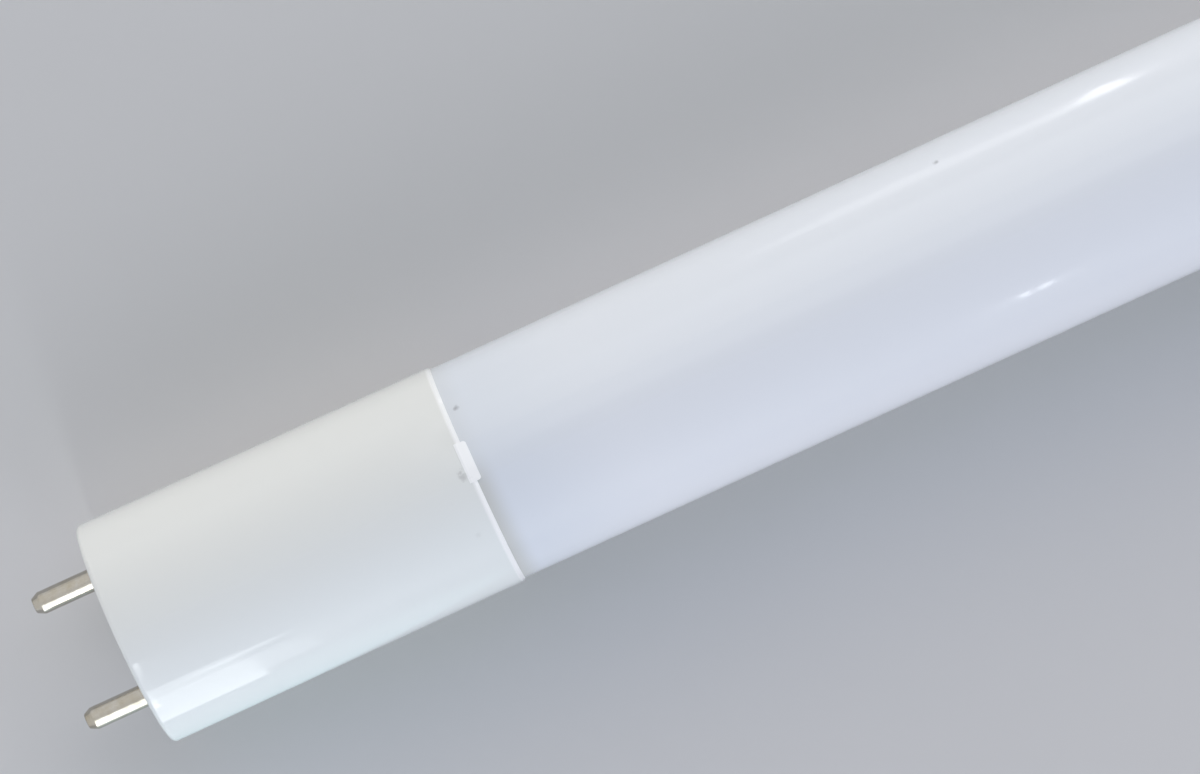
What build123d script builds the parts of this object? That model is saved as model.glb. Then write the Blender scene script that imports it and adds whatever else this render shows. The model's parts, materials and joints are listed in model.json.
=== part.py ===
"""Straight LED tube lamp with a two-pin cap at each end.

The lamp lies on its side, its light side up and its pins level. The X axis runs along it,
and the origin is on the surface under its middle. All sizes are in millimetres.
"""

import math
import os
from dataclasses import dataclass

from build123d import *

# Driving dimensions
face_to_face = 589.8
pin_pitch = 12.7
pin_diameter = 2.35
pin_reach = 7.1
cap_length = 38.9
cap_end_radius = 11.875
cap_mouth_radius = 11.70
tube_radius = 11.45
tube_wall = 0.8
led_board_width = 10.0
led_count = 48

# End cap moulding
cap_edge_round = 0.45
cap_land = 1.0
end_wall = 2.0
cavity_end_radius = 9.4
cavity_mouth_radius = 9.6
lip_bevel_length = 0.35
lip_bevel_drop = 0.17
spigot_clearance = 0.05
spigot_length = 9.0
spigot_lead_in = 0.4
glue_start = 3.0
glue_width = 2.5
glue_depth = 0.4
board_gap_margin = 0.7
boss_radius = 2.6
boss_height = 3.0
rail_thickness = 1.2
rail_reach = 8.0
rail_root = 9.9
rail_end = 36.0
rail_slack = 0.1

# Locating tab on the rim of the cap's mouth, turned a little from the top
tab_angle = 7.6
tab_width = 4.2
tab_start = 0.85
tab_crest = 0.55
tab_proud = 0.10
tab_front = 0.50
tab_front_radius = 11.56
tab_corner_round = 0.3

# Contact pins, with a thicker shank where they pass through the cap's end
shank_radius = 1.35
pin_tip_length = 0.8
pin_tip_inset = 0.4
pin_tip_round = 0.15
collar_radius = 1.8
collar_thickness = 0.8
tail_radius = 1.0
tail_length = 3.0
cup_radius = 0.6
cup_depth = 2.2

# Light board
led_board_thickness = 1.0
led_board_inset = 1.6
board_seat_gap = 0.02
adhesive_width = 8.0
led_pitch = 10.5
led_length = 3.5
led_width = 2.8
led_height = 0.7
led_rim = 0.3
led_cup_depth = 0.35
phosphor_drop = 0.03

# Driver board, in the left cap: places along it are measured in from the cap's closed face
driver_start = 6.5
driver_end = 46.5
driver_width = 17.2
driver_thickness = 1.0
driver_drop = 3.5
leg_radius = 0.35
solder_radius = 0.8
solder_tip_radius = 0.45
solder_height = 0.7
wire_diameter = 1.1
wire_bend = 1.8

# Worked out from the sizes above, and the two sides of the lamp
axis_height = cap_end_radius
half_length = face_to_face / 2
tube_bore_radius = tube_radius - tube_wall
tube_length = face_to_face - 2 * cap_length
spigot_radius = tube_bore_radius - spigot_clearance
board_gap_width = led_board_width + 2 * board_gap_margin
pin_radius = pin_diameter / 2
tab_arc = math.degrees(tab_width / cap_mouth_radius)
led_board_depth = math.sqrt(tube_bore_radius**2 - (led_board_width / 2) ** 2)
led_board_floor = axis_height - led_board_depth + board_seat_gap
led_board_top = led_board_floor + led_board_thickness
driver_floor = axis_height - driver_drop
driver_top = driver_floor + driver_thickness
boss_top = end_wall + boss_height
link_board_face = boss_top + collar_thickness
LEFT = -1
RIGHT = 1

os.makedirs("parts", exist_ok=True)


def keep(piece, name):
    """Names a finished piece and writes it to its own file."""
    piece.part.label = name
    export_step(piece.part, f"parts/{name}.step")


def along(side, distance):
    """The X of a point this far in from the closed face of the cap on that side."""
    return side * (half_length - distance)


def axis_plane(side):
    """A plane through the lamp's axis: its x runs in from the closed face, its y is up."""
    return Plane(origin=(along(side, 0), 0, axis_height), x_dir=(-side, 0, 0), z_dir=(0, side, 0))


def turned_plane(side, angle):
    """The plane through the axis, turned about it by an angle from the top, as seen from the end."""
    return axis_plane(side).rotated((side * angle, 0, 0))


def cross_plane(side, distance):
    """A plane square to the lamp's axis: its z runs in from the closed face, its y is up."""
    return Plane(
        origin=(along(side, distance), 0, axis_height), x_dir=(0, -side, 0), z_dir=(-side, 0, 0)
    )


def lamp_axis(side):
    """The lamp's axis, pointing in from the cap on that side."""
    return Axis((along(side, 0), 0, axis_height), (-side, 0, 0))


# End cap: one moulding, a drafted cup whose spigot plugs into the tube
def end_cap(side):
    glue_from = cap_length + glue_start
    glue_to = glue_from + glue_width
    spigot_end = cap_length + spigot_length
    with BuildPart() as cap:
        # Cup and spigot in one turn of its section
        with BuildSketch(axis_plane(side)) as section:
            with BuildLine():
                Polyline(
                    (0, 0),
                    (0, cap_end_radius),
                    (cap_land, cap_end_radius),
                    (cap_length - lip_bevel_length, cap_mouth_radius),
                    (cap_length, cap_mouth_radius - lip_bevel_drop),
                    (cap_length, spigot_radius),
                    (glue_from, spigot_radius),
                    (glue_from, spigot_radius - glue_depth),
                    (glue_to, spigot_radius - glue_depth),
                    (glue_to, spigot_radius),
                    (spigot_end - spigot_lead_in, spigot_radius),
                    (spigot_end, spigot_radius - spigot_lead_in),
                    (spigot_end, cavity_mouth_radius),
                    (end_wall, cavity_end_radius),
                    (end_wall, 0),
                    close=True,
                )
            make_face()
            closed_edge = section.vertices().sort_by_distance((0, cap_end_radius))[0]
            fillet(closed_edge, cap_edge_round)
        revolve(axis=lamp_axis(side))

        # Gap under the spigot, for the end of the light board
        with BuildSketch(cross_plane(side, cap_length)):
            with Locations((0, -tube_radius)):
                Rectangle(board_gap_width, tube_radius)
        extrude(amount=spigot_length, mode=Mode.SUBTRACT)

        # Rails along the cup, two on each side, that hold the driver board by its edges
        rail_width = rail_root - rail_reach
        rail_middle = (rail_root + rail_reach) / 2
        lower_rail = -driver_drop - rail_thickness / 2
        upper_rail = -driver_drop + driver_thickness + rail_slack + rail_thickness / 2
        with BuildSketch(cross_plane(side, end_wall)):
            for height in (lower_rail, upper_rail):
                with Locations((-rail_middle, height), (rail_middle, height)):
                    Rectangle(rail_width, rail_thickness)
        extrude(amount=rail_end - end_wall)

        # Bosses behind the pins, and the holes that the pins are pressed into
        with BuildSketch(cross_plane(side, end_wall)):
            with GridLocations(pin_pitch, 0, 2, 1):
                Circle(boss_radius)
        extrude(amount=boss_height)
        with BuildSketch(cross_plane(side, 0)):
            with GridLocations(pin_pitch, 0, 2, 1):
                Circle(shank_radius)
        extrude(amount=boss_top, mode=Mode.SUBTRACT)

        # Locating tab on the rim, which fills the notch in the end of the tube
        with BuildSketch(turned_plane(side, tab_angle + tab_arc / 2)):
            with BuildLine():
                Polyline(
                    (cap_length - tab_start, spigot_radius),
                    (cap_length - tab_start, cap_mouth_radius),
                    (cap_length - tab_crest, cap_mouth_radius + tab_proud),
                    (cap_length + tab_front, tab_front_radius),
                    (cap_length + tab_front, spigot_radius),
                    close=True,
                )
            make_face()
        revolve(axis=lamp_axis(side), revolution_arc=tab_arc)
        tab_plane = turned_plane(side, tab_angle)
        tab_middle = (cap_length + tab_front, (spigot_radius + tab_front_radius) / 2, 0)
        tab_face = cap.faces().sort_by_distance(tab_plane.from_local_coords(tab_middle))[0]
        fillet(tab_face.edges().filter_by(GeomType.LINE), tab_corner_round)
    return cap


# Silicone ring in the groove of the spigot, open at the bottom like the spigot
def glue_ring(side):
    glue_from = cap_length + glue_start
    with BuildPart() as ring:
        with BuildSketch(cross_plane(side, glue_from)):
            Circle(tube_bore_radius)
            Circle(spigot_radius - glue_depth, mode=Mode.SUBTRACT)
            with Locations((0, -tube_radius)):
                Rectangle(board_gap_width, tube_radius, mode=Mode.SUBTRACT)
        extrude(amount=glue_width)
    return ring


# Contact pin, turned in one piece: contact, shank, collar behind the boss, and solder cup
def contact_pin(side, offset):
    collar_back = link_board_face
    tail_end = link_board_face + tail_length
    with BuildPart() as pin:
        with BuildSketch(axis_plane(side)) as section:
            with BuildLine():
                Polyline(
                    (-pin_reach, 0),
                    (-pin_reach, pin_radius - pin_tip_inset),
                    (-pin_reach + pin_tip_length, pin_radius),
                    (0, pin_radius),
                    (0, shank_radius),
                    (boss_top, shank_radius),
                    (boss_top, collar_radius),
                    (collar_back, collar_radius),
                    (collar_back, tail_radius),
                    (tail_end, tail_radius),
                    (tail_end, cup_radius),
                    (tail_end - cup_depth, cup_radius),
                    (tail_end - cup_depth, 0),
                    close=True,
                )
            make_face()
            tip = section.vertices().sort_by_distance((-pin_reach, pin_radius - pin_tip_inset))[0]
            fillet(tip, pin_tip_round)
        revolve(axis=lamp_axis(side))
    pin.part = pin.part.moved(Location((0, offset, 0)))
    return pin


# Frosted tube, with a round-cornered notch at each end that the cap's tab fills
def diffuser_tube():
    wall_middle = tube_radius - tube_wall / 2
    with BuildPart() as tube:
        with BuildSketch(cross_plane(LEFT, cap_length)):
            Circle(tube_radius)
            Circle(tube_bore_radius, mode=Mode.SUBTRACT)
        extrude(amount=tube_length)
        for side in (LEFT, RIGHT):
            with BuildSketch(turned_plane(side, tab_angle + tab_arc / 2)):
                with Locations((cap_length, wall_middle)):
                    Rectangle(2 * tab_front, 2 * tube_wall)
            revolve(axis=lamp_axis(side), revolution_arc=tab_arc, mode=Mode.SUBTRACT)
            notch_plane = turned_plane(side, tab_angle)
            notch_middle = (cap_length + tab_front, wall_middle, 0)
            notch_face = tube.faces().sort_by_distance(notch_plane.from_local_coords(notch_middle))[0]
            fillet(notch_face.edges().filter_by(GeomType.LINE), tab_corner_round)
    return tube


for side, end in ((LEFT, "left"), (RIGHT, "right")):
    keep(end_cap(side), f"{end}_end_cap")
    keep(glue_ring(side), f"{end}_glue_ring")
    keep(contact_pin(side, -pin_pitch / 2), f"{end}_front_pin")
    keep(contact_pin(side, pin_pitch / 2), f"{end}_back_pin")

keep(diffuser_tube(), "diffuser_tube")

# Light board: a metal-cored strip glued to the inside of the tube, below its middle
led_board_length = tube_length - 2 * led_board_inset
with BuildPart() as led_board:
    with BuildSketch(Plane.XY.offset(led_board_floor)):
        Rectangle(led_board_length, led_board_width)
    extrude(amount=led_board_thickness)
keep(led_board, "led_board")

# Adhesive that fills the curved space between the strip and the tube
with BuildPart() as board_adhesive:
    with BuildSketch(cross_plane(LEFT, cap_length + spigot_length)):
        Circle(tube_bore_radius)
        adhesive_top = led_board_floor - axis_height
        with Locations((0, adhesive_top)):
            bed = (Align.CENTER, Align.MAX)
            Rectangle(adhesive_width, tube_radius, align=bed, mode=Mode.INTERSECT)
    extrude(amount=tube_length - 2 * spigot_length)
keep(board_adhesive, "board_adhesive")

# LED packages: a white housing with a cup, and the phosphor that fills it
cup_length = led_length - 2 * led_rim
cup_width = led_width - 2 * led_rim
cup_floor = led_board_top + led_height - led_cup_depth
with BuildPart() as led_housings:
    with BuildSketch(Plane.XY.offset(led_board_top)):
        with GridLocations(led_pitch, 0, led_count, 1):
            Rectangle(led_length, led_width)
    extrude(amount=led_height)
    with BuildSketch(Plane.XY.offset(cup_floor)):
        with GridLocations(led_pitch, 0, led_count, 1):
            Rectangle(cup_length, cup_width)
    extrude(amount=led_cup_depth, mode=Mode.SUBTRACT)
keep(led_housings, "led_housings")

with BuildPart() as led_phosphors:
    with BuildSketch(Plane.XY.offset(cup_floor)):
        with GridLocations(led_pitch, 0, led_count, 1):
            Rectangle(cup_length, cup_width)
    extrude(amount=led_cup_depth - phosphor_drop)
keep(led_phosphors, "led_phosphors")

# Driver parts: where each stands along the board and across it
fuse_at = 15.5
fuse_radius = 1.5
fuse_length = 7.0
fuse_leg_span = 11.0
fuse_end_round = 0.5
varistor_at = 19.8
varistor_radius = 3.5
varistor_thickness = 3.4
varistor_legs = 5.0
varistor_rim_round = 1.1
film_at = 25.0
film_length = 4.5
film_width = 10.0
film_height = 7.5
film_legs = 7.5
film_side_round = 0.6
film_top_round = 0.4
coil_at = 36.6
coil_across = 4.1
coil_radius = 3.8
coil_core_radius = 2.0
coil_height = 7.0
coil_flange = 1.2
coil_winding_inset = 0.4
coil_legs = 4.0
bulk_from = 32.0
bulk_across = -4.2
bulk_radius = 4.0
bulk_length = 11.0
bulk_legs = 3.5
bulk_leg_reach = 1.6
output_at = 30.0
output_across = 4.6
output_radius = 2.0
output_height = 7.0
output_legs = 2.0
can_groove_at = 1.8
can_groove_depth = 0.3
can_rim_round = 0.5

# Places of the legs that pass through the board, as distance in and distance across
through_legs = [
    (varistor_at, -varistor_legs / 2),
    (varistor_at, varistor_legs / 2),
    (film_at, -film_legs / 2),
    (film_at, film_legs / 2),
    (coil_at - coil_legs / 2, coil_across),
    (coil_at + coil_legs / 2, coil_across),
    (output_at, output_across - output_legs / 2),
    (output_at, output_across + output_legs / 2),
]
fuse_legs = [(fuse_at, -fuse_leg_span / 2), (fuse_at, fuse_leg_span / 2)]
bulk_leg_at = bulk_from - bulk_leg_reach
bulk_feet = [
    (bulk_leg_at, bulk_across - bulk_legs / 2),
    (bulk_leg_at, bulk_across + bulk_legs / 2),
]
all_feet = through_legs + fuse_legs + bulk_feet


def places(feet):
    """Turns distances along and across the driver board into places in the lamp."""
    return [(along(LEFT, distance), across) for distance, across in feet]


# Header between the two boards: three square pins in a moulded bar, and its socket
header_at = 43.5
header_ways = 3
header_pitch = 2.54
header_pin_size = 0.64
header_bar_height = 1.5
header_bar_width = 2.5
header_bar_length = header_ways * header_pitch
header_pin_depth = 2.6
socket_margin = 0.35
socket_height = driver_floor - header_bar_height - led_board_top
socket_length = header_bar_length + 2 * socket_margin
socket_width = header_bar_width + 2 * socket_margin

# Driver board, with its leg and header holes
driver_length = driver_end - driver_start
driver_middle = along(LEFT, (driver_start + driver_end) / 2)
with BuildPart() as driver_board:
    with BuildSketch(Plane.XY.offset(driver_floor)):
        with Locations((driver_middle, 0)):
            Rectangle(driver_length, driver_width)
        with Locations(*places(all_feet)):
            Circle(leg_radius, mode=Mode.SUBTRACT)
        with Locations((along(LEFT, header_at), 0)):
            with GridLocations(0, header_pitch, 1, header_ways):
                Rectangle(header_pin_size, header_pin_size, mode=Mode.SUBTRACT)
    extrude(amount=driver_thickness)
keep(driver_board, "driver_board")

with BuildPart() as header_bar:
    with BuildSketch(Plane.XY.offset(driver_floor - header_bar_height)):
        with Locations((along(LEFT, header_at), 0)):
            Rectangle(header_bar_width, header_bar_length)
            with GridLocations(0, header_pitch, 1, header_ways):
                Rectangle(header_pin_size, header_pin_size, mode=Mode.SUBTRACT)
    extrude(amount=header_bar_height)
keep(header_bar, "header_bar")

header_pin_foot = driver_floor - header_bar_height - header_pin_depth
with BuildPart() as header_pins:
    with BuildSketch(Plane.XY.offset(header_pin_foot)):
        with Locations((along(LEFT, header_at), 0)):
            with GridLocations(0, header_pitch, 1, header_ways):
                Rectangle(header_pin_size, header_pin_size)
    extrude(amount=driver_top + solder_height - header_pin_foot)
keep(header_pins, "header_pins")

with BuildPart() as header_socket:
    with BuildSketch(Plane.XY.offset(led_board_top)):
        with Locations((along(LEFT, header_at), 0)):
            Rectangle(socket_width, socket_length)
    extrude(amount=socket_height)
    with BuildSketch(Plane.XY.offset(header_pin_foot)):
        with Locations((along(LEFT, header_at), 0)):
            with GridLocations(0, header_pitch, 1, header_ways):
                Rectangle(header_pin_size, header_pin_size)
    extrude(amount=header_pin_depth, mode=Mode.SUBTRACT)
keep(header_socket, "header_socket")

# Fusible resistor, lying across the board on its bent legs
fuse_height = driver_top + fuse_radius
with BuildPart() as fuse_resistor:
    fuse_plane = Plane(
        origin=(along(LEFT, fuse_at), -fuse_length / 2, fuse_height), z_dir=(0, 1, 0)
    )
    with BuildSketch(fuse_plane):
        Circle(fuse_radius)
    extrude(amount=fuse_length)
    fillet(fuse_resistor.edges().filter_by(GeomType.CIRCLE), fuse_end_round)
keep(fuse_resistor, "fuse_resistor")

# Varistor, a coated disc standing across the board
with BuildPart() as varistor:
    disc_plane = Plane(
        origin=(
            along(LEFT, varistor_at - varistor_thickness / 2),
            0,
            driver_top + varistor_radius,
        ),
        z_dir=(1, 0, 0),
    )
    with BuildSketch(disc_plane):
        Circle(varistor_radius)
    extrude(amount=varistor_thickness)
    fillet(varistor.edges().filter_by(GeomType.CIRCLE), varistor_rim_round)
keep(varistor, "varistor")

# Film capacitor, a moulded box
with BuildPart() as film_capacitor:
    with BuildSketch(Plane.XY.offset(driver_top)):
        with Locations((along(LEFT, film_at), 0)):
            Rectangle(film_length, film_width)
    extrude(amount=film_height)
    fillet(film_capacitor.edges().filter_by(Axis.Z), film_side_round)
    fillet(film_capacitor.faces().sort_by(Axis.Z)[-1].edges(), film_top_round)
keep(film_capacitor, "film_capacitor")

# Inductor: a ferrite drum core, and the copper wound on it
coil_centre = (along(LEFT, coil_at), coil_across)
with BuildPart() as coil_core:
    with BuildSketch(Plane.XY.offset(driver_top)):
        with Locations(coil_centre):
            Circle(coil_radius)
    extrude(amount=coil_flange)
    with BuildSketch(Plane.XY.offset(driver_top)):
        with Locations(coil_centre):
            Circle(coil_core_radius)
    extrude(amount=coil_height)
    with BuildSketch(Plane.XY.offset(driver_top + coil_height - coil_flange)):
        with Locations(coil_centre):
            Circle(coil_radius)
    extrude(amount=coil_flange)
keep(coil_core, "coil_core")

with BuildPart() as coil_winding:
    with BuildSketch(Plane.XY.offset(driver_top + coil_flange)):
        with Locations(coil_centre):
            Circle(coil_radius - coil_winding_inset)
            Circle(coil_core_radius, mode=Mode.SUBTRACT)
    extrude(amount=coil_height - 2 * coil_flange)
keep(coil_winding, "coil_winding")

# Two rolled capacitor cans: one lies along the board on bent legs, and one stands
def can(plane, radius, length):
    """A can with rounded rims and a rolled groove, along the plane's x from its origin."""
    with BuildPart() as body:
        with BuildSketch(plane) as section:
            with BuildLine():
                Polyline(
                    (0, 0),
                    (0, radius),
                    (can_groove_at - can_groove_depth, radius),
                    (can_groove_at, radius - can_groove_depth),
                    (can_groove_at + can_groove_depth, radius),
                    (length, radius),
                    (length, 0),
                    close=True,
                )
            make_face()
            rims = [(0, radius), (length, radius)]
            corners = [section.vertices().sort_by_distance(rim)[0] for rim in rims]
            fillet(corners, can_rim_round)
        revolve(axis=Axis(plane.origin, plane.x_dir))
    return body


lying_origin = (along(LEFT, bulk_from), bulk_across, driver_top + bulk_radius)
lying_plane = Plane(origin=lying_origin, x_dir=(1, 0, 0), z_dir=(0, -1, 0))
keep(can(lying_plane, bulk_radius, bulk_length), "bulk_capacitor")
standing_origin = (along(LEFT, output_at), output_across, driver_top)
standing_plane = Plane(origin=standing_origin, x_dir=(0, 0, 1), z_dir=(0, -1, 0))
keep(can(standing_plane, output_radius, output_height), "output_capacitor")


# Legs of the parts on the driver board, each ending level with its underside
def round_wire(points, radius, bend):
    """A round wire along straight runs joined by arcs."""
    with BuildPart() as wire:
        with BuildLine() as route:
            FilletPolyline(*points, radius=bend)
        with BuildSketch(Plane(origin=route.line @ 0, z_dir=route.line % 0)):
            Circle(radius)
        sweep(path=route.line)
    return wire


def bent_leg(start, foot):
    """A leg that leaves a part sideways, then turns down through the board."""
    corner = (foot[0], foot[1], start[2])
    end = (foot[0], foot[1], driver_floor)
    return round_wire([start, corner, end], leg_radius, 2 * leg_radius)


bent_legs = []
for foot in places(fuse_legs):
    body_end = math.copysign(fuse_length / 2, foot[1])
    bent_legs.append(bent_leg((foot[0], body_end, fuse_height), foot))
for foot in places(bulk_feet):
    bent_legs.append(bent_leg((along(LEFT, bulk_from), foot[1], driver_top + bulk_radius), foot))

with BuildPart() as component_legs:
    with BuildSketch(Plane.XY.offset(driver_floor)):
        with Locations(*places(through_legs)):
            Circle(leg_radius)
    extrude(amount=driver_thickness)
    for leg in bent_legs:
        add(leg.part)
keep(component_legs, "component_legs")

# Solder under each leg
with BuildPart() as solder_joints:
    with Locations(*[(x, y, driver_floor) for x, y in places(all_feet)]):
        Cone(
            bottom_radius=solder_tip_radius,
            top_radius=solder_radius,
            height=solder_height,
            align=(Align.CENTER, Align.CENTER, Align.MAX),
        )
keep(solder_joints, "solder_joints")


# Moulded chips under the driver board, with flat feet along two sides
@dataclass
class Chip:
    """Where a chip sits, its moulding's size, and its feet."""

    distance: float
    across: float
    length: float
    width: float
    height: float
    foot_pitch: float
    foot_count: int
    foot_width: float


chip_foot_reach = 1.0
chip_bevel = 0.27
bridge = Chip(11.0, 0.0, 4.8, 4.0, 1.6, foot_pitch=2.5, foot_count=2, foot_width=0.6)
controller = Chip(34.7, -2.6, 4.9, 3.9, 1.5, foot_pitch=1.27, foot_count=4, foot_width=0.4)
diode = Chip(39.7, -2.6, 2.6, 4.3, 2.1, foot_pitch=1.0, foot_count=1, foot_width=1.5)


def chip_body(chip):
    with BuildPart() as body:
        with BuildSketch(Plane.XY.offset(driver_floor - chip.height)):
            with Locations((along(LEFT, chip.distance), chip.across)):
                Rectangle(chip.length, chip.width)
        extrude(amount=chip.height)
        chamfer(body.faces().sort_by(Axis.Z)[0].edges(), chip_bevel)
    return body


def chip_feet(chip):
    with BuildPart() as feet:
        with BuildSketch(Plane.XY.offset(driver_floor - chip.height / 2)):
            with Locations((along(LEFT, chip.distance), chip.across)):
                with GridLocations(chip.foot_pitch, chip.width + chip_foot_reach, chip.foot_count, 2):
                    Rectangle(chip.foot_width, chip_foot_reach)
        extrude(amount=chip.height / 2)
    return feet


keep(chip_body(bridge), "bridge_rectifier")
keep(chip_body(controller), "controller_chip")
keep(chip_body(diode), "catch_diode")
all_chip_feet = [chip_feet(chip) for chip in (bridge, controller, diode)]
with BuildPart() as chip_leads:
    for feet in all_chip_feet:
        add(feet.part)
keep(chip_leads, "chip_leads")

# Wires from the solder cups of the left pins down to the driver board
wire_radius = wire_diameter / 2
wire_start = link_board_face + tail_length - cup_depth
wire_down_at = 12.5
for across, name in ((-pin_pitch / 2, "left_front_wire"), (pin_pitch / 2, "left_back_wire")):
    route_points = [
        (along(LEFT, wire_start), across, axis_height),
        (along(LEFT, wire_down_at), across, axis_height),
        (along(LEFT, wire_down_at), across, driver_top),
    ]
    keep(round_wire(route_points, wire_radius, wire_bend), name)

# Link board, soldered on the tails of the right pins, and the return wire to the light board
link_width = 15.8
link_height = 7.0
link_thickness = 1.0
link_corner = 1.0
link_solder_width = 0.6
link_back = link_board_face + link_thickness
with BuildPart() as link_board:
    with BuildSketch(cross_plane(RIGHT, link_board_face)):
        RectangleRounded(link_width, link_height, link_corner)
        with GridLocations(pin_pitch, 0, 2, 1):
            Circle(tail_radius, mode=Mode.SUBTRACT)
    extrude(amount=link_thickness)
keep(link_board, "link_board")

with BuildPart() as link_solder:
    with BuildSketch(cross_plane(RIGHT, link_back)):
        with GridLocations(pin_pitch, 0, 2, 1):
            Circle(tail_radius + link_solder_width)
            Circle(tail_radius, mode=Mode.SUBTRACT)
    extrude(amount=link_solder_width)
keep(link_solder, "link_solder")

# The wire leaves the link board, drops along the cup, and turns down to the light board
return_start_height = axis_height - 1.5
return_run_height = axis_height - 5.5
return_drop_from = along(RIGHT, 16.0)
return_drop_to = along(RIGHT, 34.0)
return_end = along(RIGHT, 44.0)
return_points = [
    (along(RIGHT, link_back), 0, return_start_height),
    (return_drop_from, 0, return_start_height),
    (return_drop_to, 0, return_run_height),
    (return_end, 0, return_run_height),
    (return_end, 0, led_board_top),
]
keep(round_wire(return_points, wire_radius, wire_bend), "return_wire")
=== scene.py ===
"""Looks of a straight LED tube lamp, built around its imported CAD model.

Everything is in metres, in the model's own frame: X along the lamp, Z up, and the origin on
the surface under its middle. Only the light panels and the small marks are given in
millimetres. The lamp lies on a pale floor and is seen from above.
"""

import json
import math

import bpy
from mathutils import Matrix, Vector


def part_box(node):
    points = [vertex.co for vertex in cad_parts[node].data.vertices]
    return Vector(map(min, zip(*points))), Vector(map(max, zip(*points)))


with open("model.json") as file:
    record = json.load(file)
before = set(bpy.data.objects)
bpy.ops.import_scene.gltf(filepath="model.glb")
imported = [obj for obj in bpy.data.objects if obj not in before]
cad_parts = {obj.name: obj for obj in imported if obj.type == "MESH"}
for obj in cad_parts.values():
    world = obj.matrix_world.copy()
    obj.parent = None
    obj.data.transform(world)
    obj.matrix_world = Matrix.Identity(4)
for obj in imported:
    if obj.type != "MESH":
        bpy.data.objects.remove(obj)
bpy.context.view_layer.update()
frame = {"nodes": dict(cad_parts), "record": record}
nodes = frame["nodes"]

MM = 0.001

# Places on the lamp, from the frame
tube_low, tube_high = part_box("diffuser_tube")
cap_low, cap_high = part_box("left_end_cap")
axis_height = (tube_low.z + tube_high.z) / 2
tube_radius = (tube_high.y - tube_low.y) / 2
cap_radius = (cap_high.y - cap_low.y) / 2
mouth_x = tube_low.x

# Camera, above the left end of the lamp and turned so that the lamp rises to the right
camera_place = Vector((-234.42, 2.79, 662.25)) * MM
camera_yaw = math.radians(0.609)
camera_roll = math.radians(-24.544)
image_width = 1200
focal_pixels = 6500
sensor_width = 36

# Room light: level of each zone of the sky, from the front horizon over the top to the back
sky_front_horizon = (1.40, 1.31, 1.46)
sky_front_low = (1.47, 1.46, 1.56)
sky_overhead = (0.05, 0.12, 0.15)
sky_back_high = (0.30, 0.32, 0.50)
sky_back_low = (1.20, 1.08, 1.00)
sky_back_horizon = (1.65, 1.75, 1.65)
backdrop_colour = (0.86, 0.87, 0.88)
floor_colour = (0.63, 0.63, 0.63)
floor_size = 24.0


def on_lamp(x, degrees_back, radius):
    """A point on the lamp's surface, at an angle from its top towards the back."""
    angle = math.radians(degrees_back)
    return Vector((x, radius * math.sin(angle), axis_height + radius * math.cos(angle)))


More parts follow.
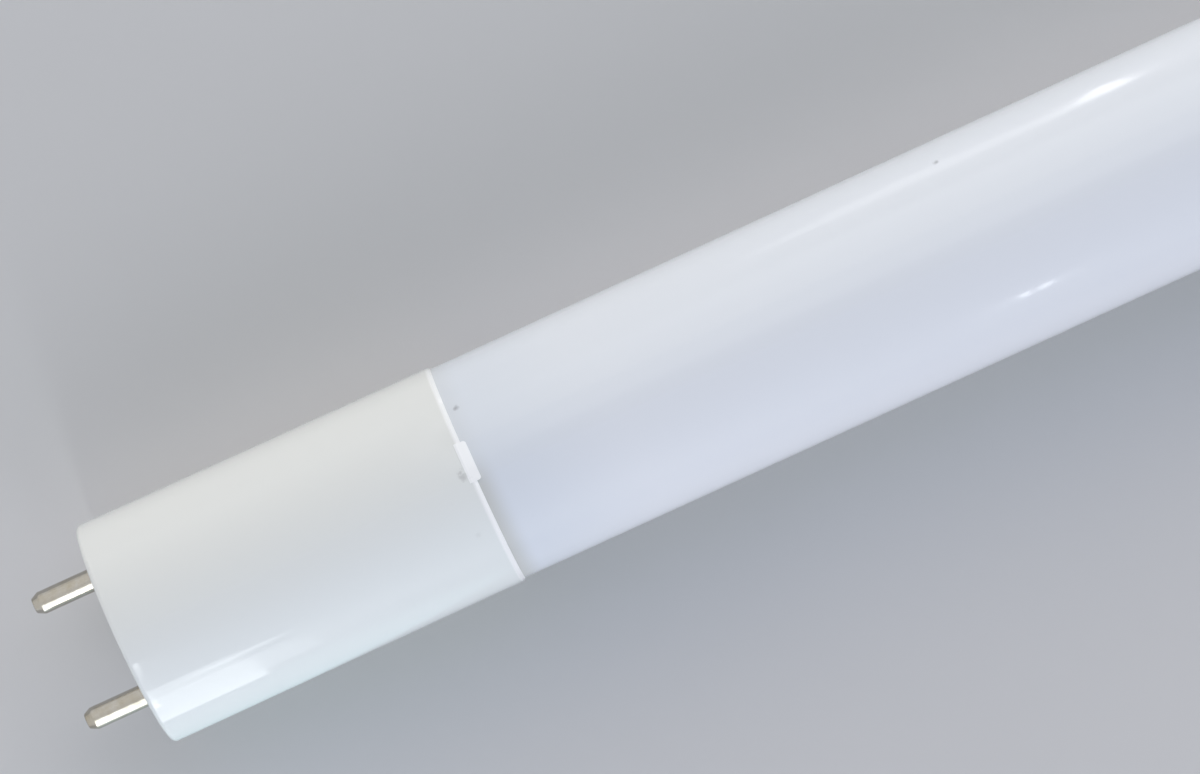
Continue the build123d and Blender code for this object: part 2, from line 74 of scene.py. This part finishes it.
class Look:
    """A node material, with short calls for the nodes that the looks below are made of."""

    def __init__(self, name, **constants):
        self.material = bpy.data.materials.new(name)
        self.material.use_nodes = True
        self.tree = self.material.node_tree
        self.shader = self.tree.nodes["Principled BSDF"]
        for socket, value in constants.items():
            self.shader.inputs[socket.replace("_", " ")].default_value = value

    def node(self, kind, inputs=None, **settings):
        """Adds a node: inputs are constants or outputs of other nodes, by name or number."""
        made = self.tree.nodes.new(kind)
        for name, value in settings.items():
            setattr(made, name, value)
        for key, value in (inputs or {}).items():
            if isinstance(value, bpy.types.NodeSocket):
                self.tree.links.new(value, made.inputs[key])
            else:
                made.inputs[key].default_value = value
        return made

    def place(self, stretch=(1, 1, 1)):
        """The point on the object, in metres, times a factor along each axis."""
        point = self.node("ShaderNodeTexCoord").outputs["Object"]
        if stretch == (1, 1, 1):
            return point
        return self.node("ShaderNodeMapping", {"Vector": point, "Scale": stretch}).outputs[0]

    def noise(self, size, detail=2.0, stretch=(1, 1, 1), seed=0.0):
        """Noise with features of about this size, in metres."""
        inputs = {"Vector": self.place(stretch), "W": seed, "Scale": 1 / size, "Detail": detail}
        return self.node("ShaderNodeTexNoise", inputs, noise_dimensions="4D").outputs["Fac"]

    def span(self, value, start, end, low=0.0, high=1.0, smooth=False):
        """Takes a value from start..end to low..high, and holds it there outside."""
        inputs = {0: value, 1: start, 2: end, 3: low, 4: high}
        kind = "SMOOTHSTEP" if smooth else "LINEAR"
        return self.node("ShaderNodeMapRange", inputs, interpolation_type=kind).outputs[0]

    def math(self, operation, first, second=0.0):
        return self.node("ShaderNodeMath", {0: first, 1: second}, operation=operation).outputs[0]

    def vector(self, operation, first, second):
        """Works on two vectors: gives a vector, or the distance between them as a number."""
        made = self.node("ShaderNodeVectorMath", {0: first, 1: second}, operation=operation)
        return made.outputs["Value" if operation == "DISTANCE" else "Vector"]

    def axis(self, letter):
        """The point's place along one axis, in metres."""
        return self.node("ShaderNodeSeparateXYZ", {0: self.place()}).outputs[letter]

    def mix(self, factor, first, second):
        inputs = {0: factor, 6: paint(first), 7: paint(second)}
        return self.node("ShaderNodeMix", inputs, data_type="RGBA").outputs[2]

    def inward(self):
        """How far the point lies in from the mouth of the cap on its side, in metres."""
        return self.math("SUBTRACT", -mouth_x, self.math("ABSOLUTE", self.axis("X")))

    def outward(self):
        """How far the point lies from the lamp's axis, in metres."""
        across = self.vector("MULTIPLY", self.place(), (0, 1, 1))
        return self.vector("DISTANCE", across, (0, 0, axis_height))

    def spot(self, centre, radius, ragged, seed):
        """A small soft mark with an uneven edge: 1 at its centre and 0 outside it."""
        distance = self.vector("DISTANCE", self.place(), tuple(centre))
        uneven = self.span(self.noise(radius, seed=seed), 0.3, 0.7, 1 - ragged, 1 + ragged)
        return self.span(self.math("MULTIPLY", distance, uneven), radius, 0.0, smooth=True)

    def marks(self, surface_radius, spots, strength, ragged=0.3):
        """Small soft marks on the lamp's left end, as one mask that rises to this strength.

        Each has its way past the cap's mouth, in millimetres, its angle from the top towards
        the back, in degrees, its own radius, in millimetres, and a seed.
        """
        mask = 0.0
        for past_mouth, degrees_back, radius, seed in spots:
            centre = on_lamp(mouth_x + past_mouth * MM, degrees_back, surface_radius)
            mask = self.math("MAXIMUM", mask, self.spot(centre, radius * MM, ragged, seed))
        return self.math("MULTIPLY", mask, strength)

    def bump(self, height, depth):
        """Raises the surface by up to this depth, in metres, where the height is 1."""
        inputs = {"Height": height, "Distance": depth}
        if self.shader.inputs["Normal"].links:
            inputs["Normal"] = self.shader.inputs["Normal"].links[0].from_socket
        self.link("Normal", self.node("ShaderNodeBump", inputs).outputs[0])

    def link(self, socket, output):
        self.tree.links.new(output, self.shader.inputs[socket])


def paint(colour):
    """A colour constant with its alpha, or a node's output as it is."""
    return (*colour, 1.0) if isinstance(colour, tuple) else colour


def shade(colour, factor):
    return tuple(channel * factor for channel in colour)


# Frosted tube: milky plastic with a glossy skin, faintly drawn lengthwise
def frosted_tube():
    look = Look("frosted_tube", Coat_Weight=0.40, Coat_Roughness=0.065)
    milk = (0.755, 0.785, 0.835)
    cloudy = look.noise(30 * MM, detail=1.0, stretch=(0.4, 1, 1), seed=3.0)
    colour = look.mix(cloudy, shade(milk, 0.99), shade(milk, 1.01))

    # Painted shade beside the cap, stronger towards the front: a faint darkening over the tube's
    # first stretch, and a darker band right beside the lip
    painted_shade_tint = (0.35, 0.47, 0.61)
    painted_shade_reach = 17 * MM
    painted_shade_share = 0.19
    painted_shade = look.span(look.inward(), painted_shade_reach, 0.0, 0.0, painted_shade_share, smooth=True)
    more_in_front = look.span(look.axis("Y"), 6 * MM, -6 * MM, 0.6, 1.0, smooth=True)
    colour = look.mix(look.math("MULTIPLY", painted_shade, more_in_front), colour, painted_shade_tint)
    # Painted shade: the darker band right beside the lip
    painted_lip_shade_tint = (0.26, 0.21, 0.03)
    painted_lip_shade_reach = 2.4 * MM
    painted_lip_shade_share = 0.30
    dark_tone = look.span(look.inward(), painted_lip_shade_reach, -0.2 * MM, 0.0, painted_lip_shade_share, smooth=True)
    mostly_in_front = look.span(look.axis("Y"), 2.5 * MM, -1.5 * MM, 0.25, 1.0, smooth=True)
    colour = look.mix(look.math("MULTIPLY", dark_tone, mostly_in_front), colour, painted_lip_shade_tint)

    speck_tint = (0.22, 0.22, 0.24)
    specks = look.marks(tube_radius, [(0.93, 36.6, 0.42, 1.0), (54.24, 53.7, 0.46, 2.0)], 0.62)
    look.link("Base Color", look.mix(specks, colour, speck_tint))
    smears = look.noise(9 * MM, detail=1.0, stretch=(0.3, 1, 1), seed=5.0)
    look.link("Roughness", look.span(smears, 0.2, 0.8, 0.235, 0.265, smooth=True))
    look.bump(look.noise(1.2 * MM, stretch=(0.01, 1, 1)), 0.0008 * MM)
    return look.material


# Cap: moulded plastic with an even gloss, and painted highlights on the lip and the tab
def cap_plastic():
    look = Look("cap_plastic", Coat_Weight=1.0, Coat_Roughness=0.06, Specular_IOR_Level=0.2)
    white = (0.775, 0.785, 0.765)
    flow = look.noise(25 * MM, detail=1.0, stretch=(0.5, 1, 1))
    colour = look.mix(flow, shade(white, 0.99), shade(white, 1.01))

    # Painted light: the front is painted a cooler white, standing in for cool light falling on it
    painted_cool_light_white = (0.735, 0.805, 0.825)
    painted_cool_light_share = look.span(look.axis("Y"), 6 * MM, -9 * MM, 0.0, 0.5, smooth=True)
    colour = look.mix(painted_cool_light_share, colour, painted_cool_light_white)

    # Painted highlight on lip and tab, by their distance from the mouth and from the lamp's axis
    painted_highlight_white = (0.94, 0.95, 0.955)
    lip = look.span(look.inward(), -0.62 * MM, -0.30 * MM)
    near_mouth = look.span(look.inward(), -0.90 * MM, -0.86 * MM)
    raised = look.span(look.outward(), 11.72 * MM, 11.74 * MM)
    tab = look.math("MULTIPLY", raised, near_mouth)
    colour = look.mix(look.math("MAXIMUM", lip, tab), colour, painted_highlight_white)

    # A dark patch by the tab, and two faint marks further from the mouth
    tab_dark_patch_tint = (0.24, 0.23, 0.24)
    tab_dark_patch = [(-1.15, 1.4, 0.62, 1.0), (-1.22, 4.3, 0.36, 6.0)]
    colour = look.mix(look.marks(cap_radius, tab_dark_patch, 0.45, ragged=0.5), colour, tab_dark_patch_tint)
    faint_tint = (0.3, 0.3, 0.3)
    faint = [(-2.15, -28.1, 0.45, 2.0), (-3.22, -8.0, 0.30, 3.0)]
    look.link("Base Color", look.mix(look.marks(cap_radius, faint, 0.14), colour, faint_tint))
    patches = look.noise(8 * MM, detail=1.0, seed=4.0)
    look.link("Roughness", look.span(patches, 0.2, 0.8, 0.34, 0.38, smooth=True))
    look.bump(look.noise(0.9 * MM, detail=1.0, seed=7.0), 0.002 * MM)
    look.bump(look.noise(6.0 * MM, detail=1.0, seed=8.0), 0.006 * MM)
    return look.material


# Pins: nickel plate over turned brass, dulled where fingers and sockets have rubbed it
def pin_metal():
    look = Look("pin_metal", Metallic=1.0)
    nickel = (0.50, 0.475, 0.425)
    tarnish = (0.44, 0.40, 0.325)
    turned = look.noise(0.12 * MM, stretch=(1, 0.05, 0.05))
    stains = look.noise(1.6 * MM, detail=3.0, seed=2.0)
    look.link("Base Color", look.mix(look.span(stains, 0.4, 0.7), nickel, tarnish))
    look.link("Roughness", look.span(stains, 0.3, 0.7, 0.20, 0.26))
    look.bump(turned, 0.002 * MM)
    return look.material


def grainy(name, colour, other, grain, rough, depth=0.01 * MM, **constants):
    """A plain moulded, coated or cast finish: two close colours, uneven gloss and a fine grain."""
    look = Look(name, **constants)
    patches = look.noise(grain * 6, detail=3.0)
    look.link("Base Color", look.mix(look.span(patches, 0.35, 0.65), colour, other))
    low, high = rough
    look.link("Roughness", look.span(look.noise(grain * 3, seed=2.0), 0.3, 0.7, low, high))
    look.bump(look.noise(grain, seed=3.0), depth)
    return look.material


def silicone():
    return grainy("silicone", (0.74, 0.75, 0.74), (0.68, 0.69, 0.69), 0.6 * MM, (0.30, 0.45),
                  Subsurface_Weight=0.3, Subsurface_Scale=0.002)


# Light board: white solder mask over aluminium, with the copper just showing as darker bands
def strip_metal():
    look = Look("strip_metal", Coat_Weight=0.2)
    mask = (0.80, 0.80, 0.78)
    dust = (0.7, 0.7, 0.7)
    bands = look.span(look.math("PINGPONG", look.axis("Y"), 2.2 * MM), 1.2 * MM, 1.3 * MM)
    grain = look.noise(0.4 * MM)
    colour = look.mix(bands, mask, shade(mask, 0.93))
    look.link("Base Color", look.mix(look.span(grain, 0.3, 0.7, 0.0, 0.2), colour, dust))
    look.link("Roughness", look.span(grain, 0.3, 0.7, 0.35, 0.45))
    look.bump(bands, 0.03 * MM)
    return look.material


def led_housing():
    return grainy("led_housing", (0.82, 0.81, 0.76), (0.78, 0.77, 0.72), 0.15 * MM,
                  (0.35, 0.45))


def led_phosphor():
    return grainy("led_phosphor", (0.88, 0.66, 0.10), (0.92, 0.74, 0.18), 0.08 * MM, (0.15, 0.3),
                  Subsurface_Weight=0.4, Subsurface_Scale=0.0004)


# Circuit boards: green mask, a faint weave, and paler tracks under it
def circuit_board():
    look = Look("circuit_board", Coat_Weight=0.3)
    green = (0.018, 0.12, 0.05)
    weave_green = (0.03, 0.17, 0.08)
    track_green = (0.035, 0.20, 0.09)
    thread = 0.25 * MM
    weave_x = look.math("PINGPONG", look.axis("X"), thread)
    weave_y = look.math("PINGPONG", look.axis("Y"), thread)
    weave = look.span(look.math("ADD", weave_x, weave_y), 0.0, 2 * thread)
    tracks = look.span(look.noise(3.5 * MM, detail=0.0, stretch=(0.6, 1, 1)), 0.47, 0.49)
    colour = look.mix(look.math("MULTIPLY", weave, 0.3), green, weave_green)
    look.link("Base Color", look.mix(tracks, colour, track_green))
    look.link("Roughness", look.span(look.noise(1 * MM), 0.3, 0.7, 0.25, 0.4))
    look.bump(tracks, 0.03 * MM)
    return look.material


def black_moulding():
    return grainy("black_moulding", (0.020, 0.020, 0.023), (0.032, 0.032, 0.035), 0.08 * MM,
                  (0.45, 0.6))


def tinned_metal():
    return grainy("tinned_metal", (0.66, 0.66, 0.65), (0.55, 0.55, 0.56), 0.2 * MM, (0.2, 0.35),
                  Metallic=1.0)


def resistor_coat():
    return grainy("resistor_coat", (0.10, 0.20, 0.16), (0.13, 0.24, 0.19), 0.2 * MM, (0.5, 0.65),
                  depth=0.02 * MM)


def varistor_coat():
    return grainy("varistor_coat", (0.02, 0.06, 0.27), (0.03, 0.08, 0.32), 0.5 * MM, (0.2, 0.3),
                  depth=0.03 * MM, Coat_Weight=0.4)


def film_case():
    return grainy("film_case", (0.34, 0.045, 0.02), (0.40, 0.06, 0.03), 0.4 * MM, (0.18, 0.3),
                  depth=0.02 * MM, Coat_Weight=0.3)


def ferrite():
    return grainy("ferrite", (0.035, 0.034, 0.035), (0.055, 0.052, 0.050), 0.1 * MM, (0.5, 0.7),
                  depth=0.02 * MM)


# Winding: turns of enamelled wire, one above the other, with painted shade in the grooves between
def copper():
    look = Look("copper", Metallic=1.0, Coat_Weight=0.4)
    crest = (0.72, 0.28, 0.12)
    painted_groove_shade = (0.30, 0.09, 0.03)
    wire = 0.35 * MM
    turn = look.math("PINGPONG", look.axis("Z"), wire / 2)
    rounded = look.span(turn, 0.0, wire / 2, smooth=True)
    look.link("Base Color", look.mix(rounded, painted_groove_shade, crest))
    look.link("Roughness", look.span(look.noise(0.6 * MM), 0.3, 0.7, 0.22, 0.36))
    look.bump(rounded, 0.12 * MM)
    return look.material


# Capacitor sleeve: dark shrink film
def can_sleeve():
    look = Look("can_sleeve", Coat_Weight=0.3)
    dark_tone = (0.012, 0.016, 0.035)
    tint = look.mix(look.span(look.noise(2 * MM), 0.3, 0.7), dark_tone, shade(dark_tone, 1.5))
    look.link("Base Color", tint)
    look.link("Roughness", look.span(look.noise(0.8 * MM, seed=2.0), 0.3, 0.7, 0.2, 0.35))
    look.bump(look.noise(3 * MM, seed=4.0), 0.03 * MM)
    return look.material


def wire_sleeve():
    return grainy("wire_sleeve", (0.70, 0.70, 0.67), (0.64, 0.64, 0.62), 0.3 * MM,
                  (0.35, 0.5))


# Every CAD node keeps its shape and takes the look of its material slot
makers = (
    frosted_tube, cap_plastic, pin_metal, silicone, strip_metal, led_housing, led_phosphor,
    circuit_board, black_moulding, tinned_metal, resistor_coat, varistor_coat, film_case,
    ferrite, copper, can_sleeve, wire_sleeve,
)
looks = {maker.__name__: maker() for maker in makers}
for row in frame["record"]["subparts"]:
    mesh = nodes[row["node"]].data
    mesh.materials.clear()
    mesh.materials.append(looks[row["material_slot"]])


# Floor: a wide matt pale surface
def lay_floor():
    half = floor_size / 2
    corners = [(-half, -half, 0), (half, -half, 0), (half, half, 0), (-half, half, 0)]
    mesh = bpy.data.meshes.new("floor")
    mesh.from_pydata(corners, [], [(0, 1, 2, 3)])
    floor = bpy.data.objects.new("floor", mesh)
    bpy.context.scene.collection.objects.link(floor)
    look = Look("floor_paper", Roughness=0.9, Specular_IOR_Level=0.1)
    fibre = look.noise(30 * MM, detail=4.0)
    colour = look.mix(look.span(fibre, 0.3, 0.7), floor_colour, shade(floor_colour, 1.015))
    look.link("Base Color", colour)
    mesh.materials.append(look.material)


# Sky: soft zones of light round the lamp, and a plain pale backdrop behind them
def light_sky():
    world = bpy.data.worlds.new("studio")
    bpy.context.scene.world = world
    world.use_nodes = True
    tree = world.node_tree
    tree.nodes.clear()

    def add(kind, **settings):
        made = tree.nodes.new(kind)
        for name, value in settings.items():
            setattr(made, name, value)
        return made

    # Angle of a direction round the lamp's axis: 0 at the front horizon, 0.5 overhead
    split = add("ShaderNodeSeparateXYZ")
    tree.links.new(add("ShaderNodeTexCoord").outputs["Generated"], split.inputs[0])
    backwards = add("ShaderNodeMath", operation="MULTIPLY")
    backwards.inputs[1].default_value = -1.0
    tree.links.new(split.outputs["Y"], backwards.inputs[0])
    turn = add("ShaderNodeMath", operation="ARCTAN2")
    tree.links.new(split.outputs["Z"], turn.inputs[0])
    tree.links.new(backwards.outputs[0], turn.inputs[1])
    share = add("ShaderNodeMath", operation="DIVIDE")
    share.inputs[1].default_value = math.pi
    tree.links.new(turn.outputs[0], share.inputs[0])

    ramp = add("ShaderNodeValToRGB")
    ramp.color_ramp.interpolation = "EASE"
    stops = [
        (0.03, sky_front_horizon), (0.17, sky_front_low), (0.33, sky_overhead),
        (0.50, sky_overhead), (0.60, sky_back_high), (0.80, sky_back_low),
        (0.95, sky_back_horizon),
    ]
    elements = ramp.color_ramp.elements
    while len(elements) < len(stops):
        elements.new(0.5)
    for element, (position, colour) in zip(elements, stops):
        element.position = position
        element.color = paint(colour)
    tree.links.new(share.outputs[0], ramp.inputs[0])

    lit = add("ShaderNodeBackground")
    tree.links.new(ramp.outputs[0], lit.inputs["Color"])
    plain = add("ShaderNodeBackground")
    plain.inputs["Color"].default_value = paint(backdrop_colour)

    # The camera, gloss and glass see the backdrop; everything else is lit by the zones
    rays = add("ShaderNodeLightPath")
    sees_backdrop = rays.outputs["Is Camera Ray"]
    for kind in ("Is Glossy Ray", "Is Transmission Ray"):
        either = add("ShaderNodeMath", operation="MAXIMUM")
        tree.links.new(sees_backdrop, either.inputs[0])
        tree.links.new(rays.outputs[kind], either.inputs[1])
        sees_backdrop = either.outputs[0]
    choose = add("ShaderNodeMixShader")
    tree.links.new(sees_backdrop, choose.inputs[0])
    tree.links.new(lit.outputs[0], choose.inputs[1])
    tree.links.new(plain.outputs[0], choose.inputs[2])
    tree.links.new(choose.outputs[0], add("ShaderNodeOutputWorld").inputs[0])


def card(name, low, high, width, level, colour=(1, 1, 1), shape="ELLIPSE", towards=None):
    """A light panel out of the camera's sight, in millimetres.

    It runs from the middle of its low edge to the middle of its high edge, with its width
    level or turned square to a point, and shines to the side where that point or the lamp is.
    At a level of 1 it is as bright as white.
    """
    low = Vector(low) * MM
    high = Vector(high) * MM
    middle = (low + high) / 2
    target = Vector(towards) * MM if towards else Vector((middle.x, 0, axis_height))
    upwards = (high - low).normalized()
    across = upwards.cross(target - middle if towards else Vector((0, 0, 1))).normalized()
    back = across.cross(upwards)
    if back.dot(target - middle) > 0:
        across.negate()
        back.negate()
    size = (width * MM, (high - low).length)
    area = size[0] * size[1] * (math.pi / 4 if shape == "ELLIPSE" else 1)
    data = bpy.data.lights.new(name, "AREA")
    data.shape = shape
    data.size, data.size_y = size
    data.color = colour
    data.energy = level * math.pi * area
    light = bpy.data.objects.new(name, data)
    bpy.context.scene.collection.objects.link(light)
    turn = Matrix((across, upwards, back)).transposed().to_4x4()
    light.matrix_world = Matrix.Translation(middle) @ turn
    light.visible_camera = False


def place_camera():
    data = bpy.data.cameras.new("camera")
    data.sensor_width = sensor_width
    data.lens = focal_pixels * sensor_width / image_width
    data.clip_start = 0.01
    data.clip_end = 100
    camera = bpy.data.objects.new("camera", data)
    bpy.context.scene.collection.objects.link(camera)
    turn = Matrix.Rotation(camera_yaw, 4, "Y") @ Matrix.Rotation(camera_roll, 4, "Z")
    camera.matrix_world = Matrix.Translation(camera_place) @ turn
    bpy.context.scene.camera = camera


lay_floor()
light_sky()
place_camera()

daylight = (0.93, 0.98, 1.0)
floor_light = (0.5, 0.95, 1.0)
mouth = (mouth_x / MM, 0, axis_height / MM)

# Two low cards behind the lamp, whose reflections make the streak along the tube
card("streak_light", (-179.8, 57, 2), (-169.5, 190, 2), 7.6, 6.8)
card("tail_light", (-200, 66, 2), (-184.7, 420, 2), 56, 1.2)

# A window in front of the left end: its pane, curtain, corner and sash shine on the cap, its
# side shines on the pins, and the floor before it lights the cap from below
card("pane_light", (-300.1, -67, 2), (-327.0, -430, 135), 26, 3.0, daylight, "RECTANGLE")
card("curtain_light", (-285.4, -95, 6), (-310.5, -430, 135), 7, 0.9, daylight, "RECTANGLE")
card("corner_light", (-327, -430, 128), (-330.5, -402, 232), 26, 2.5, daylight, "RECTANGLE")
card("sash_light", (-317.3, -416, 180), (-313.3, -404, 210), 16, 2.3, daylight)
card("floor_glow", (-288, -14, 1), (-288, -74, 1), 60, 0.25, floor_light)
card("window_light", (-347, -427, 62), (-347, -210, 390), 32, 5.4, daylight, "RECTANGLE")

# Two slits in front of the tube, whose reflections make the short double highlight
slits = (("first_slit", -196.1, 0.9, 22.0), ("second_slit", -193.6, 1.9, 11.5))
for name, x, width, level in slits:
    card(name, (x, -63.2, 40.5), (x, -60.6, 46.8), width, level, daylight)

# A soft box above and behind the tube, whose near edge shows as a soft line along it
card("ceiling_light", (50, 1400, 500), (50, 270, 1500), 720, 0.83, shape="RECTANGLE", towards=mouth)

# A soft box to the right, which picks out the lip of the cap and its tab
card("key_light", (1040, 250, 870), (520, 250, 1500), 1100, 0.90, shape="RECTANGLE", towards=mouth)

bpy.context.scene.view_settings.view_transform = "Standard"
